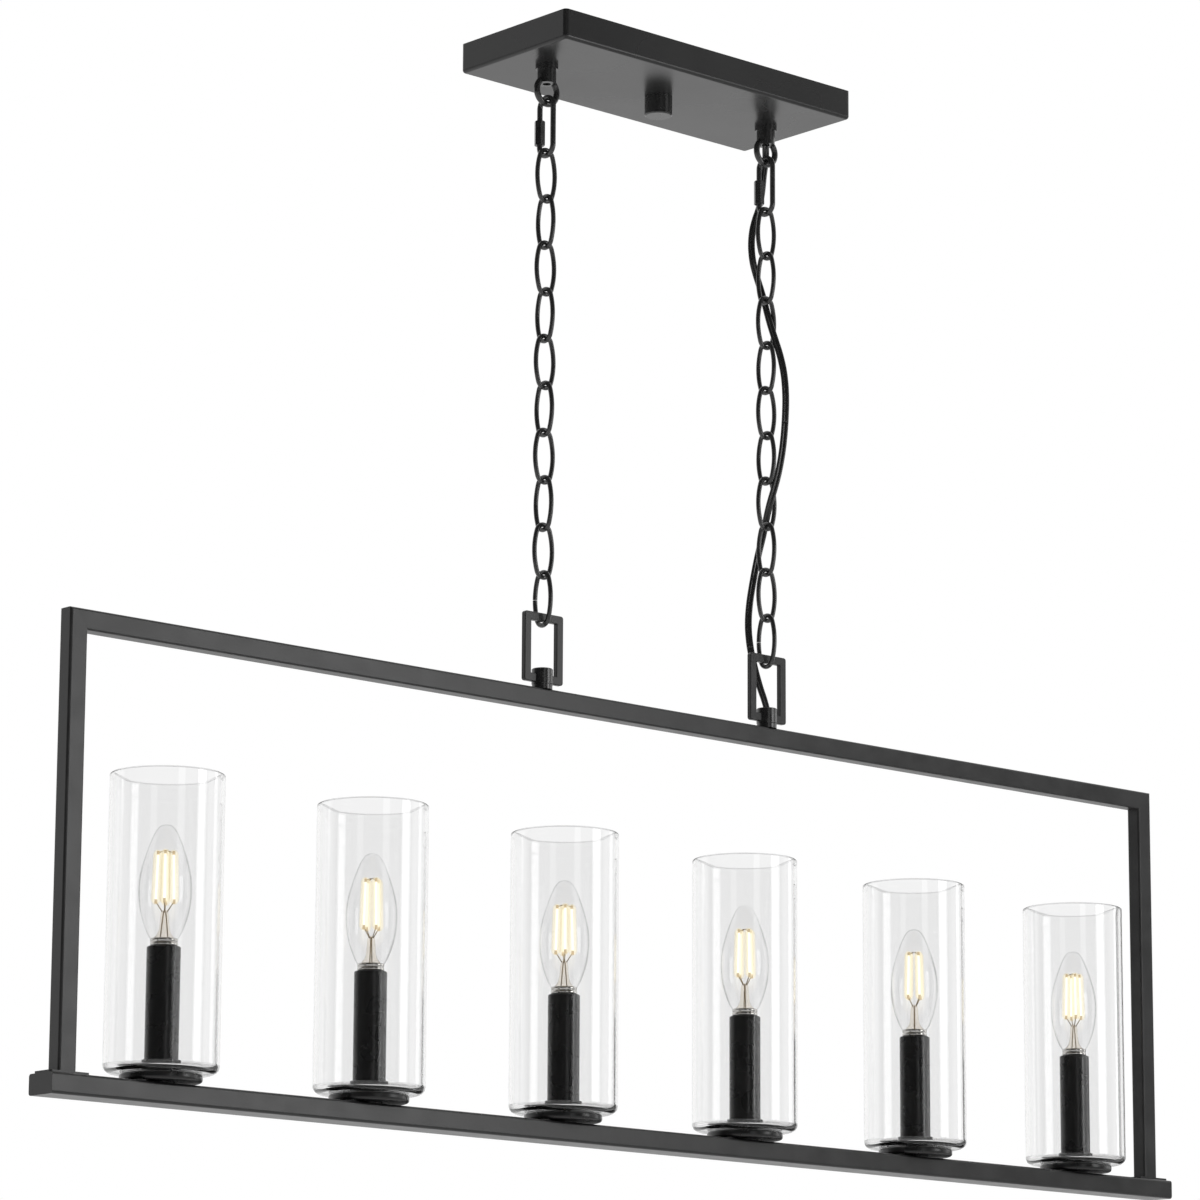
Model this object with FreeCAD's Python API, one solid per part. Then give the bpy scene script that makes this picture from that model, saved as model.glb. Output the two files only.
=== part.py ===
"""Linear island pendant: six candle lights in clear glass on an open frame, hung on two chains.

Millimetres.  Origin: centre of the canopy's rim on the ceiling.  +X along the lamp, +Z up.
"""
import FreeCAD, Part
import math
import os

V = FreeCAD.Vector
X_DIR, Y_DIR, Z_DIR = V(1, 0, 0), V(0, 1, 0), V(0, 0, 1)

# ---- overall arrangement -------------------------------------------------------------------
FRAME_HEIGHT = 318.0         # underside of the bar to the top of the rail
FRAME_WIDTH = 1047.0         # outside to outside of the posts
HANG_X = 110.0               # each chain from the middle
LIGHT_COUNT = 6
END_LIGHT_INSET = 86.0       # outside of a post to the middle of the nearest light

# ---- fits and clearances -------------------------------------------------------------------
SEAT_GAP = 0.3               # between curved pieces that hang in one another
RUN_FIT = 0.05               # radial, turning or sliding fits
HOLE_CLEAR = 0.3             # radial, holes that screws and nipples pass through

# ---- canopy and its hardware ---------------------------------------------------------------
CANOPY_LENGTH, CANOPY_DEPTH, CANOPY_HEIGHT = 285.75, 114.3, 22.0
SHEET = 1.2                  # pressed sheet and tube wall
CANOPY_CORNER = 3.0
CANOPY_EDGE = 2.5
CROSSBAR_LENGTH, CROSSBAR_WIDTH, CROSSBAR_THICK = 120.0, 22.0, 2.0
BOX_SCREW_SPACING = 88.9
SLOT_LENGTH, SLOT_RADIUS = 20.0, 2.4
NIPPLE_RADIUS, NIPPLE_BORE = 4.9, 3.5
NIPPLE_LENGTH = 33.0
NIPPLE_NUT_FLATS, NIPPLE_NUT_THICK = 14.0, 4.0
KNOB_RADIUS, KNOB_HEIGHT, KNOB_FLOOR, KNOB_CHAMFER = 10.2, 15.0, 3.0, 0.8
GROUND_SCREW_X = -26.0
SCREW_RADIUS, SCREW_HEAD_RADIUS, SCREW_HEAD_HEIGHT = 1.5, 3.0, 1.6
CONNECTOR_X, CONNECTOR_Y, CONNECTOR_Z = 56.0, 9.0, -9.0
CONNECTOR_LENGTH, CONNECTOR_MOUTH, CONNECTOR_TIP = 17.0, 4.2, 2.6

# ---- canopy loops --------------------------------------------------------------------------
COLLAR_RADIUS, COLLAR_THICK = 8.25, 3.6
BOSS_RADIUS, BOSS_BOTTOM = 6.8, -36.3
STEM_TOP = -12.0
CORD_BORE = 3.0
RING_RADIUS, RING_WIRE, RING_Z = 9.4, 2.3, -41.8
LOOP_WASHER_RADIUS, LOOP_WASHER_THICK = 9.0, 1.0
LOOP_NUT_FLATS, LOOP_NUT_THICK = 14.0, 3.5

# ---- quick links ---------------------------------------------------------------------------
QUICK_WIRE, QUICK_HALF_WIDTH, QUICK_BOTTOM = 2.0, 7.25, -90.0
QUICK_NUT_FLATS, QUICK_NUT_LENGTH, QUICK_NUT_TOP = 7.0, 18.3, -62.8
QUICK_GAP, QUICK_THREAD = 5.6, 2.6
NUT_CHAMFER = 0.5

# ---- chain ---------------------------------------------------------------------------------
LINK_WIRE, LINK_LENGTH, LINK_HALF_WIDTH, LINK_END = 1.7, 38.3, 8.3, 6.2
LINK_COUNT = 10
LINK_SLIT = 0.6

# ---- flat twin supply cord, drawn as one round tube of the same section area ------------------
CORD_RADIUS = 1.9
CORD_TRIM = 1.5              # drawn on past each end, then cut level where the cord meets its glands
CORD_ROUTE = (
    (0.0, 0.0, BOSS_BOTTOM), (0.5, 0.6, -39.3), (3.2, 3.3, -43.8), (5.5, 6.3, -50.0), (5.7, 7.9, -57.1),
    (6.3, 9.7, -65.5), (6.0, 10.9, -74.0), (3.8, 11.9, -83.0), (0.2, 12.2, -92.0), (-2.2, 12.6, -102.0),
    (-2.9, 12.9, -113.0), (-1.6, 12.7, -125.0), (1.9, 12.0, -136.0), (4.1, 9.8, -146.0), (4.6, 6.8, -155.0),
    (4.2, 3.7, -163.5), (3.6, 0.5, -171.5), (3.8, -2.6, -180.0), (5.2, -5.6, -190.0), (7.2, -8.2, -201.0),
    (9.0, -10.2, -214.5), (9.8, -11.0, -230.5), (9.5, -10.7, -247.0), (8.7, -9.9, -263.0),
    (7.4, -8.6, -277.5), (5.9, -6.5, -290.5), (4.3, -4.0, -301.5), (3.1, -1.0, -311.0), (3.1, 2.1, -319.5),
    (3.7, 5.3, -328.0), (4.0, 8.5, -337.0), (3.0, 11.2, -347.0), (1.0, 12.7, -359.0), (-1.8, 13.3, -373.0),
    (-4.8, 13.4, -388.0), (-6.6, 12.9, -403.0), (-6.8, 11.2, -417.5), (-6.2, 8.3, -431.0),
    (-4.9, 5.6, -442.5), (-3.0, 3.4, -452.5), (-1.0, 1.2, -461.0), (0.0, 0.0, -467.2),
)
LEAD_BEND = 5.0
CONDUCTOR_RADIUS = 0.9

# ---- hanger loops on the frame ---------------------------------------------------------------
LOOP_WIDTH, LOOP_HEIGHT, LOOP_BAR, LOOP_DEPTH = 36.0, 50.0, 6.0, 4.0
LOOP_CORNER, LOOP_EDGE = 2.0, 0.6
LOOP_SEAT_GAP = 0.7          # under the loop's top bar, to the last link that carries it
LOOP_COLLAR_RADIUS, LOOP_COLLAR_RISE, LOOP_COLLAR_DROP = 7.6, 10.1, 1.3
BASE_RADIUS, BASE_HEIGHT = 7.3, 3.4
COLLAR_SOCKET = 1.5
SPIGOT_RADIUS, SPIGOT_BORE, SPIGOT_LENGTH = 4.0, 2.9, 4.0
HANGER_NUT_FLATS, HANGER_NUT_THICK = 9.0, 2.4

# ---- frame -----------------------------------------------------------------------------------
TUBE_FACE, TUBE_DEPTH, TUBE_CORNER = 14.0, 12.2, 1.6
BAR_OVERHANG, BAR_DEPTH, BAR_HEIGHT, BAR_CORNER = 9.5, 25.4, 14.0, 2.0
CAP_THICK, CAP_SPIGOT = 1.5, 2.5
FOOT_LENGTH, FOOT_DEPTH, FOOT_THICK, FOOT_CORNER = 31.0, 18.0, 1.6, 1.5
FOOT_SCREW_X, FOOT_SCREW_LENGTH, COUNTERSINK_RADIUS = 10.7, 6.0, 2.9
HARNESS_BORE = 3.2

# ---- one light, heights above the underside of the bar -----------------------------------------
NECK_RADIUS, NECK_TOP = 9.5, 15.0
PAN_RADIUS, PAN_TOP, PAN_EDGE = 27.25, 20.6, 2.0
GLASS_RADIUS, GLASS_WALL, GLASS_FLOOR, GLASS_TOP = 38.1, 2.5, 3.1, 217.8
GLASS_CORNER, GLASS_INNER_CORNER, GLASS_RIM, GLASS_HOLE = 5.5, 3.0, 1.0, 10.4
RETAINER_RADIUS, RETAINER_THICK, RETAINER_CHAMFER = 12.9, 4.0, 0.5
SOCKET_RADIUS, SOCKET_TOP, SOCKET_FLOOR, SOCKET_WIRE_BORE = 10.0, 103.2, 82.7, 2.6
NIPPLE_SOCKET_DEPTH = 10.0
SLEEVE_RADIUS, SLEEVE_BORE, SLEEVE_TOP, SLEEVE_EDGE = 11.2, 10.3, 103.7, 0.5
STEM_LOW, STEM_NUT_FLATS, STEM_NUT_THICK = 9.2, 13.0, 3.0
BASE_SHELL, BASE_TIP, BASE_LOW, BASE_TIP_TOP = 5.92, 2.4, 83.7, 85.7
SKIRT_RADIUS, SKIRT_LOW, SKIRT_TOP = 9.2, 104.3, 108.9
BULB_PROFILE = (
    (9.3, 108.9), (11.4, 112.6), (14.1, 119.4), (16.0, 126.4), (17.1, 133.3), (17.5, 140.3), (17.2, 147.3),
    (16.1, 154.2), (14.3, 161.2), (12.0, 168.2), (9.4, 175.2), (6.9, 180.3), (3.9, 183.6), (0.0, 184.7),
)
BULB_WALL = 0.6
GLASS_STEM = ((0.0, 108.9), (6.4, 108.9), (3.2, 113.7), (2.4, 120.7), (1.6, 127.7), (0.0, 127.7))
FILAMENT_COUNT, FILAMENT_RADIUS = 4, 0.9
FILAMENT_LOW, FILAMENT_HIGH = (7.0, 134.4), (5.6, 165.0)
SUPPORT_RADIUS, SUPPORT_ROOT, SUPPORT_TOP = 0.35, 126.2, 167.3
DROP_RADIUS = 1.4

# ---- derived ---------------------------------------------------------------------------------
CANOPY_FLOOR = -CANOPY_HEIGHT + SHEET
QUICK_TOP = RING_Z - RING_RADIUS + RING_WIRE + QUICK_WIRE + SEAT_GAP
LINK_PITCH = LINK_LENGTH - 2 * LINK_WIRE - SEAT_GAP
FIRST_LINK_TOP = QUICK_BOTTOM + QUICK_WIRE + LINK_WIRE + SEAT_GAP
LAST_LINK_BOTTOM = FIRST_LINK_TOP - (LINK_COUNT - 1) * LINK_PITCH - LINK_LENGTH
LOOP_TOP = LAST_LINK_BOTTOM + LINK_WIRE + LOOP_SEAT_GAP + LOOP_BAR
LOOP_BOTTOM = LOOP_TOP - LOOP_HEIGHT
LOOP_COLLAR_TOP = LOOP_BOTTOM + LOOP_COLLAR_RISE
LOOP_COLLAR_BASE = LOOP_BOTTOM - LOOP_COLLAR_DROP
RAIL_TOP = LOOP_COLLAR_BASE - BASE_HEIGHT
SPIGOT_END = RAIL_TOP - SPIGOT_LENGTH
RAIL_Z = RAIL_TOP - TUBE_FACE / 2
BAR_BOTTOM = RAIL_TOP - FRAME_HEIGHT
BAR_LENGTH = FRAME_WIDTH + 2 * BAR_OVERHANG
BAR_TOP = BAR_BOTTOM + BAR_HEIGHT
BAR_Z = BAR_BOTTOM + BAR_HEIGHT / 2
POST_X = FRAME_WIDTH / 2 - TUBE_FACE / 2
POST_BOTTOM = BAR_TOP + FOOT_THICK
LIGHT_PITCH = (FRAME_WIDTH - 2 * END_LIGHT_INSET) / (LIGHT_COUNT - 1)
LIGHT_XS = [(i - (LIGHT_COUNT - 1) / 2) * LIGHT_PITCH for i in range(LIGHT_COUNT)]
SIDES = (("left", -HANG_X), ("right", HANG_X))


# ---- shape helpers ---------------------------------------------------------------------------
def box(x, y, z, length, depth, height):
    """Box centred on (x, y) with its floor at z."""
    return Part.makeBox(length, depth, height, V(x - length / 2, y - depth / 2, z))


def rod(a, b, radius):
    """Round bar from point a to point b."""
    a, b = V(*a), V(*b)
    return Part.makeCylinder(radius, (b - a).Length, a, b - a)


def pipe(x, y, low, high, radius, bore):
    """Upright tube."""
    hole = rod((x, y, low - 1), (x, y, high + 1), bore)
    return rod((x, y, low), (x, y, high), radius).cut(hole)


def lathe(profile, x, y, z=0.0):
    """Solid of revolution about the upright line through (x, y): profile is (radius, height) corners."""
    points = [V(r, 0, h) for r, h in profile]
    face = Part.Face(Part.makePolygon(points + points[:1]))
    solid = face.revolve(V(0, 0, 0), Z_DIR, 360)
    solid.translate(V(x, y, z))
    return Part.Solid(solid.Shells[0])


def hex_nut(x, y, low, high, flats, bore, chamfer=NUT_CHAMFER):
    """Upright hexagonal nut with its corners turned off at both ends."""
    corner = flats / math.sqrt(3)
    points = [V(x + corner * math.cos(math.radians(a)), y + corner * math.sin(math.radians(a)), low)
              for a in range(0, 361, 60)]
    prism = Part.Face(Part.makePolygon(points)).extrude(V(0, 0, high - low))
    turned = lathe(((0, low), (flats / 2, low), (corner, low + chamfer), (corner, high - chamfer),
                    (flats / 2, high), (0, high)), x, y)
    return prism.common(turned).cut(rod((x, y, low - 1), (x, y, high + 1), bore))


def rounded_rectangle(width, height, corner):
    """Wire of a rounded rectangle about the origin in the XY plane."""
    w, h, r = width / 2, height / 2, corner
    k = r * (1 - math.sqrt(0.5))
    flats = (((-w + r, -h), (w - r, -h)), ((w, -h + r), (w, h - r)),
             ((w - r, h), (-w + r, h)), ((-w, h - r), (-w, -h + r)))
    middles = ((w - k, -h + k), (w - k, h - k), (-w + k, h - k), (-w + k, -h + k))
    edges = []
    for i, (start, end) in enumerate(flats):
        following = flats[(i + 1) % len(flats)][0]
        edges.append(Part.LineSegment(V(*start, 0), V(*end, 0)).toShape())
        edges.append(Part.Arc(V(*end, 0), V(*middles[i], 0), V(*following, 0)).toShape())
    return Part.Wire(edges)


def box_tube(width, height, corner, wall, length):
    """Flat-sided tube along +Z from the origin, with its section in the XY plane."""
    outer = Part.Face(rounded_rectangle(width, height, corner)).extrude(V(0, 0, length))
    inner = Part.Face(rounded_rectangle(width - 2 * wall, height - 2 * wall, corner - wall))
    return outer.cut(inner.extrude(V(0, 0, length)))


def swept_ring(edges, radius):
    """Round wire bent along a closed flat path."""
    path = Part.Wire(edges)
    start = edges[0].Curve.value(edges[0].FirstParameter)
    tangent = edges[0].tangentAt(edges[0].FirstParameter)
    section = Part.Wire([Part.Circle(start, tangent, radius).toShape()])
    return Part.Solid(path.makePipeShell([section], True, True).Shells[0])


def oval_link(top, half_width, length, end, wire):
    """Oval link in the XZ plane about x = 0: two tight end arcs and two slack side arcs."""
    reach = length / 2 - end
    side = (half_width ** 2 + reach ** 2 - end ** 2) / (2 * (half_width - end))
    middle = top - length / 2
    angle = math.atan2(reach, side - half_width)
    join_x = half_width - side * (1 - math.cos(angle))
    join_z = side * math.sin(angle)

    def arc(a, b, c):
        return Part.Arc(*(V(px, 0, middle + pz) for px, pz in (a, b, c))).toShape()

    edges = [
        arc((half_width, 0), (half_width - side * (1 - math.cos(angle / 2)), side * math.sin(angle / 2)),
            (join_x, join_z)),
        arc((join_x, join_z), (0, length / 2), (-join_x, join_z)),
        arc((-join_x, join_z), (-half_width, 0), (-join_x, -join_z)),
        arc((-join_x, -join_z), (0, -length / 2), (join_x, -join_z)),
        arc((join_x, -join_z), (half_width - side * (1 - math.cos(angle / 2)), -side * math.sin(angle / 2)),
            (half_width, 0)),
    ]
    return swept_ring(edges, wire)


def stadium_link(x, top, bottom, half_width, wire):
    """Straight-sided link in the YZ plane at x."""
    high, low = top - half_width, bottom + half_width
    edges = [
        Part.LineSegment(V(x, -half_width, low), V(x, -half_width, high)).toShape(),
        Part.Arc(V(x, -half_width, high), V(x, 0, top), V(x, half_width, high)).toShape(),
        Part.LineSegment(V(x, half_width, high), V(x, half_width, low)).toShape(),
        Part.Arc(V(x, half_width, low), V(x, 0, bottom), V(x, -half_width, low)).toShape(),
    ]
    return swept_ring(edges, wire)


def bent_tube(route, radius, largest=None):
    """Round tube through the route: straight runs joined by tangent arcs."""
    points = [V(*p) for p in route]
    edges, radii = [], []
    start = points[0]
    for before, corner, after in zip(points, points[1:], points[2:]):
        a, b = before - corner, after - corner
        run = min(a.Length, b.Length)
        turn = math.pi - a.getAngle(b)
        reach = 0.45 * run
        bend = reach / math.tan(turn / 2)
        if largest and bend > largest:
            bend = largest
            reach = bend * math.tan(turn / 2)
        a.normalize()
        b.normalize()
        entry, leave = corner + a * reach, corner + b * reach
        middle_way = a + b
        middle_way.normalize()
        crown = corner + middle_way * (bend / math.cos(turn / 2) - bend)
        edges.append(Part.LineSegment(start, entry).toShape())
        edges.append(Part.Arc(entry, crown, leave).toShape())
        radii.append(bend)
        start = leave
    edges.append(Part.LineSegment(start, points[-1]).toShape())
    path = Part.Wire(edges)
    section = Part.Wire([Part.Circle(points[0], points[1] - points[0], radius).toShape()])
    solid = Part.Solid(path.makePipeShell([section], True, False).Shells[0])
    print("tube radii", [round(r, 1) for r in radii], "length", round(path.Length, 1),
          "volume ratio", round(solid.Volume / (math.pi * radius ** 2 * path.Length), 4))
    return solid


# ---- at the ceiling ----------------------------------------------------------------------------
def mounting_crossbar():
    bar = box(0, 0, -CROSSBAR_THICK, CROSSBAR_LENGTH, CROSSBAR_WIDTH, CROSSBAR_THICK)
    cuts = [rod((0, 0, -CANOPY_HEIGHT), (0, 0, 1), NIPPLE_RADIUS),
            rod((GROUND_SCREW_X, 0, -CANOPY_HEIGHT), (GROUND_SCREW_X, 0, 1), SCREW_RADIUS)]
    straight = SLOT_LENGTH - 2 * SLOT_RADIUS
    for side in (-1, 1):
        centre = side * BOX_SCREW_SPACING / 2
        cuts.append(box(centre, 0, -CANOPY_HEIGHT, straight, 2 * SLOT_RADIUS, 2 * CANOPY_HEIGHT))
        for end in (-1, 1):
            x = centre + end * straight / 2
            cuts.append(rod((x, 0, -CANOPY_HEIGHT), (x, 0, CANOPY_HEIGHT), SLOT_RADIUS))
    return bar.cut(cuts)


def canopy_nipple():
    return pipe(0, 0, -NIPPLE_LENGTH, 0, NIPPLE_RADIUS, NIPPLE_BORE)


def nipple_lock_nut():
    return hex_nut(0, 0, -CROSSBAR_THICK - NIPPLE_NUT_THICK, -CROSSBAR_THICK, NIPPLE_NUT_FLATS, NIPPLE_RADIUS)


def ground_screw():
    x, top = GROUND_SCREW_X, -CROSSBAR_THICK
    shank = rod((x, 0, top), (x, 0, 0), SCREW_RADIUS)
    head = rod((x, 0, top - SCREW_HEAD_HEIGHT), (x, 0, top), SCREW_HEAD_RADIUS)
    slot = box(x, 0, top - SCREW_HEAD_HEIGHT, 2 * SCREW_HEAD_RADIUS, SCREW_HEAD_HEIGHT / 2, SCREW_HEAD_HEIGHT / 2)
    return shank.fuse(head).removeSplitter().cut(slot)


def canopy_shell():
    def tray(grow, corner, edge, top):
        bottom = -CANOPY_HEIGHT - grow
        body = box(0, 0, bottom, CANOPY_LENGTH + 2 * grow, CANOPY_DEPTH + 2 * grow, top - bottom)
        body = body.makeFillet(corner, [e for e in body.Edges if abs(e.tangentAt(e.FirstParameter).z) > 0.5])
        return body.makeFillet(edge, [e for e in body.Edges if e.BoundBox.ZMax < bottom + 0.01])

    shell = tray(0, CANOPY_CORNER, CANOPY_EDGE, 0).cut(
        tray(-SHEET, CANOPY_CORNER - SHEET, CANOPY_EDGE - SHEET, 2 * SHEET))
    holes = [rod((x, 0, -CANOPY_HEIGHT - 1), (x, 0, CANOPY_FLOOR + 1), NIPPLE_RADIUS + HOLE_CLEAR)
             for x in (-HANG_X, 0, HANG_X)]
    return shell.cut(holes)


def canopy_knob():
    bottom = -CANOPY_HEIGHT - KNOB_HEIGHT
    body = lathe(((0, bottom), (KNOB_RADIUS - KNOB_CHAMFER, bottom), (KNOB_RADIUS, bottom + KNOB_CHAMFER),
                  (KNOB_RADIUS, -CANOPY_HEIGHT), (0, -CANOPY_HEIGHT)), 0, 0)
    return body.cut(rod((0, 0, bottom + KNOB_FLOOR), (0, 0, 0), NIPPLE_RADIUS + RUN_FIT))


def canopy_loop(x):
    """Turned boss and hollow threaded stem with the ring that the chain hangs from."""
    shoulder = -CANOPY_HEIGHT - COLLAR_THICK
    stem = lathe(((0, BOSS_BOTTOM), (BOSS_RADIUS, BOSS_BOTTOM), (BOSS_RADIUS, shoulder),
                  (NIPPLE_RADIUS, shoulder), (NIPPLE_RADIUS, STEM_TOP), (0, STEM_TOP)), x, 0)
    ring = Part.makeTorus(RING_RADIUS, RING_WIRE, V(x, 0, RING_Z), Y_DIR)
    return stem.fuse(ring).cut(rod((x, 0, BOSS_BOTTOM - 2 * RING_WIRE), (x, 0, STEM_TOP + 1), CORD_BORE))


def screw_collar(x):
    return pipe(x, 0, -CANOPY_HEIGHT - COLLAR_THICK, -CANOPY_HEIGHT, COLLAR_RADIUS, NIPPLE_RADIUS + RUN_FIT)


def loop_washer(x):
    return pipe(x, 0, CANOPY_FLOOR, CANOPY_FLOOR + LOOP_WASHER_THICK, LOOP_WASHER_RADIUS,
                NIPPLE_RADIUS + RUN_FIT)


def loop_lock_nut(x):
    low = CANOPY_FLOOR + LOOP_WASHER_THICK
    return hex_nut(x, 0, low, low + LOOP_NUT_THICK, LOOP_NUT_FLATS, NIPPLE_RADIUS)


def supply_leads():
    """The cord from the loop's boss into the canopy, and its two bared conductors."""
    turn_z = STEM_TOP + LEAD_BEND + CORD_RADIUS
    jacket_end = CONNECTOR_X + 3 * CONNECTOR_MOUTH
    jacket = bent_tube(((HANG_X, 0, BOSS_BOTTOM), (HANG_X, 0, turn_z), (jacket_end, 0, turn_z)),
                       CORD_RADIUS, LEAD_BEND)
    pieces = [jacket]
    for side in (-1, 1):
        y, step = side * CONNECTOR_Y, (jacket_end - CONNECTOR_X) / 3
        conductor = bent_tube((
            (jacket_end, side * CONDUCTOR_RADIUS, turn_z), (jacket_end - step, side * CONNECTOR_Y / 3, turn_z - 1),
            (jacket_end - 2 * step, side * CONNECTOR_Y * 0.8, CONNECTOR_Z + 1), (CONNECTOR_X, y, CONNECTOR_Z)),
            CONDUCTOR_RADIUS)
        pieces.append(conductor.cut(wire_connector(y)))
    return pieces


def wire_connector(y):
    """Twist-on connector: a cone with its mouth towards +X."""
    tip = CONNECTOR_X - CONNECTOR_LENGTH
    return Part.makeCone(CONNECTOR_TIP, CONNECTOR_MOUTH, CONNECTOR_LENGTH, V(tip, y, CONNECTOR_Z), X_DIR)


# ---- chains --------------------------------------------------------------------------------------
def quick_link(x):
    """Threaded link with the gap in its +Y leg that the nut closes."""
    gap_low = QUICK_NUT_TOP - QUICK_NUT_LENGTH + QUICK_THREAD
    gap = box(x, QUICK_HALF_WIDTH, gap_low, 4 * QUICK_WIRE, 3 * QUICK_WIRE, QUICK_GAP)
    return stadium_link(x, QUICK_TOP, QUICK_BOTTOM, QUICK_HALF_WIDTH, QUICK_WIRE).cut(gap)


def quick_link_nut(x):
    return hex_nut(x, QUICK_HALF_WIDTH, QUICK_NUT_TOP - QUICK_NUT_LENGTH, QUICK_NUT_TOP, QUICK_NUT_FLATS,
                   QUICK_WIRE + RUN_FIT)


def chain_link(x, index):
    """Link number index, counted from the top; every second one stands across the lamp."""
    link = oval_link(FIRST_LINK_TOP - index * LINK_PITCH, LINK_HALF_WIDTH, LINK_LENGTH, LINK_END, LINK_WIRE)
    if index % 2:
        link.rotate(V(0, 0, 0), Z_DIR, 90)
    link.translate(V(x, 0, 0))
    return link


def chain_end_link(x):
    """The last link, with the open butt joint in its +Y side."""
    last = LINK_COUNT - 1
    middle = FIRST_LINK_TOP - last * LINK_PITCH - LINK_LENGTH / 2
    slit = box(x, LINK_HALF_WIDTH, middle - LINK_SLIT / 2, 4 * LINK_WIRE, 4 * LINK_WIRE, LINK_SLIT)
    return chain_link(x, last).cut(slit)


def drawn_on(end, before):
    """Point beyond the end of a route, in line with its last leg."""
    end, before = V(*end), V(*before)
    return tuple(end + (end - before).normalize() * CORD_TRIM)


def supply_cord():
    """Cord from the right canopy loop to the right hanger collar, its ends cut level."""
    route = [(HANG_X + dx, dy, z) for dx, dy, z in CORD_ROUTE]
    top, bottom = route[0][2], route[-1][2]
    long_route = [drawn_on(route[0], route[1])] + route[1:-1] + [drawn_on(route[-1], route[-2])]
    between = box(HANG_X, 0, bottom, LOOP_WIDTH, LOOP_WIDTH, top - bottom)
    return bent_tube(long_route, CORD_RADIUS).common(between)


# ---- frame -----------------------------------------------------------------------------------------
def hanger_loop(x):
    """Flat bar bent to a rectangle; its lower ends stand in the collar."""
    middle = LOOP_TOP - LOOP_HEIGHT / 2
    opening_width, opening_height = LOOP_WIDTH - 2 * LOOP_BAR, LOOP_HEIGHT - 2 * LOOP_BAR
    plate = Part.Face(rounded_rectangle(LOOP_WIDTH, LOOP_HEIGHT, LOOP_CORNER)).extrude(V(0, 0, LOOP_DEPTH))
    hole = box(0, 0, -1, opening_width, opening_height, LOOP_DEPTH + 2)
    ring = plate.cut(hole)
    rims = [e for e in ring.Edges if abs(e.tangentAt(e.FirstParameter).z) < 0.5]
    ring = ring.makeFillet(LOOP_EDGE, rims)
    ring.translate(V(0, 0, -LOOP_DEPTH / 2))
    ring.rotate(V(0, 0, 0), X_DIR, 90)
    ring.translate(V(x, 0, middle))
    gap = box(x, 0, LOOP_TOP - LOOP_HEIGHT - 1, 2 * (LOOP_COLLAR_RADIUS - COLLAR_SOCKET), 2 * LOOP_DEPTH,
              LOOP_BAR + 2)
    return ring.cut(gap)


def hanger_collar(x):
    """Turned collar with a hollow threaded spigot that goes into the rail."""
    body = lathe(((0, LOOP_COLLAR_BASE), (LOOP_COLLAR_RADIUS - NUT_CHAMFER, LOOP_COLLAR_BASE),
                  (LOOP_COLLAR_RADIUS, LOOP_COLLAR_BASE + NUT_CHAMFER),
                  (LOOP_COLLAR_RADIUS, LOOP_COLLAR_TOP - NUT_CHAMFER),
                  (LOOP_COLLAR_RADIUS - NUT_CHAMFER, LOOP_COLLAR_TOP), (0, LOOP_COLLAR_TOP)), x, 0)
    spigot = rod((x, 0, SPIGOT_END), (x, 0, LOOP_COLLAR_BASE + 1), SPIGOT_RADIUS)
    bore = rod((x, 0, SPIGOT_END - 1), (x, 0, LOOP_COLLAR_TOP + 1), SPIGOT_BORE)
    return body.fuse(spigot).cut([bore, hanger_loop(x)])


def collar_base(x):
    return pipe(x, 0, RAIL_TOP, LOOP_COLLAR_BASE, BASE_RADIUS, SPIGOT_RADIUS + RUN_FIT)


def hanger_nut(x):
    top = RAIL_TOP - SHEET
    return hex_nut(x, 0, top - HANGER_NUT_THICK, top, HANGER_NUT_FLATS, SPIGOT_RADIUS, NUT_CHAMFER / 2)


def mitre_wedge(side):
    """Everything outside the mitre plane at one top corner of the frame."""
    corner, reach, front = FRAME_WIDTH / 2, 4 * TUBE_FACE, -TUBE_DEPTH
    points = [V(side * corner, front, RAIL_TOP), V(side * (corner - reach), front, RAIL_TOP - reach),
              V(side * (corner + reach), front, RAIL_TOP - reach), V(side * (corner + reach), front, RAIL_TOP)]
    return Part.Face(Part.makePolygon(points + points[:1])).extrude(V(0, 2 * TUBE_DEPTH, 0))


def top_rail():
    rail = box_tube(TUBE_FACE, TUBE_DEPTH, TUBE_CORNER, SHEET, FRAME_WIDTH)
    rail.rotate(V(0, 0, 0), Y_DIR, 90)
    rail.translate(V(-FRAME_WIDTH / 2, 0, RAIL_Z))
    holes = [rod((x, 0, RAIL_Z), (x, 0, RAIL_TOP + 1), SPIGOT_RADIUS) for _, x in SIDES]
    return rail.cut(holes + [mitre_wedge(-1), mitre_wedge(1)])


def post(side):
    tube = box_tube(TUBE_FACE, TUBE_DEPTH, TUBE_CORNER, SHEET, RAIL_TOP - POST_BOTTOM)
    tube.translate(V(side * POST_X, 0, POST_BOTTOM))
    straight = box(side * POST_X, 0, POST_BOTTOM - 1, 2 * TUBE_FACE, 2 * TUBE_DEPTH,
                   RAIL_TOP - 2 * TUBE_FACE - POST_BOTTOM)
    return tube.common(mitre_wedge(side).fuse(straight))


def screw_places():
    return [side * POST_X + end * FOOT_SCREW_X for side in (-1, 1) for end in (-1, 1)]


def countersink(x, ease=0.0):
    """Cone of a screw head that ends flush with the top of the foot."""
    return Part.makeCone(SCREW_RADIUS + ease, COUNTERSINK_RADIUS + ease, FOOT_THICK, V(x, 0, BAR_TOP))


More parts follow.
